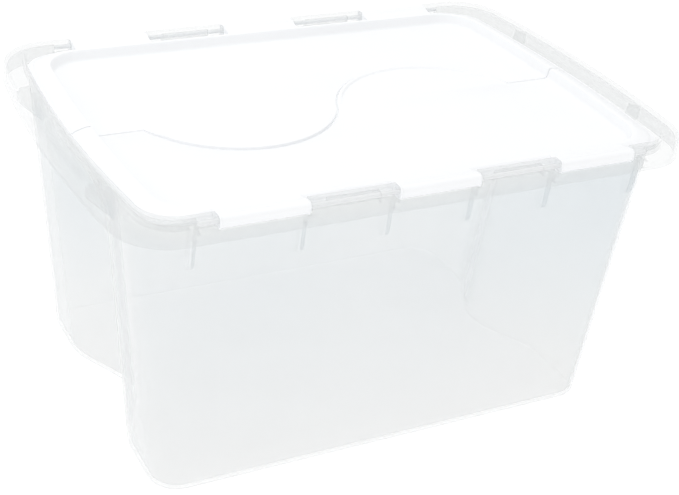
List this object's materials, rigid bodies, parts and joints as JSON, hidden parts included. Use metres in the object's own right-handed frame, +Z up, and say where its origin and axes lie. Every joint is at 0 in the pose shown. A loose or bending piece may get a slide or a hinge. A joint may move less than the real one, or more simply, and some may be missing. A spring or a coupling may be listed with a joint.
{
  "type": "stacking storage crate",
  "caption": "Clear tapered stacking crate with a rounded rim, end hand flanges and a white lid in two hinged leaves that meet at an S-shaped seam.",
  "frame": {"origin": "centre of the bounding box on the underside", "axes": "+X along the length, +Y to the rear long side, +Z up"},
  "size_m": [0.564, 0.376, 0.29],
  "materials": {
    "clear_body": "translucent clear polypropylene, glossy, faintly milky",
    "white_lid": "opaque white polypropylene, semi-gloss",
    "white_rod": "natural white acetal rod"
  },
  "bodies": {
    "crate": {"crate_body": "clear_body", "front_hinge_rod": "white_rod", "rear_hinge_rod": "white_rod"},
    "front_leaf": {"front_lid_leaf": "white_lid"},
    "rear_leaf": {"rear_lid_leaf": "white_lid"}
  },
  "joints": [
    {"name": "front_lid_hinge", "type": "hinge", "parent": "crate", "child": "front_leaf", "pos_m": [0, -0.1805, 0.2835], "axis": [1, 0, 0], "range_deg": [0, 190]},
    {"name": "rear_lid_hinge", "type": "hinge", "parent": "crate", "child": "rear_leaf", "pos_m": [0, 0.1805, 0.2835], "axis": [-1, 0, 0], "range_deg": [0, 190]}
  ]
}
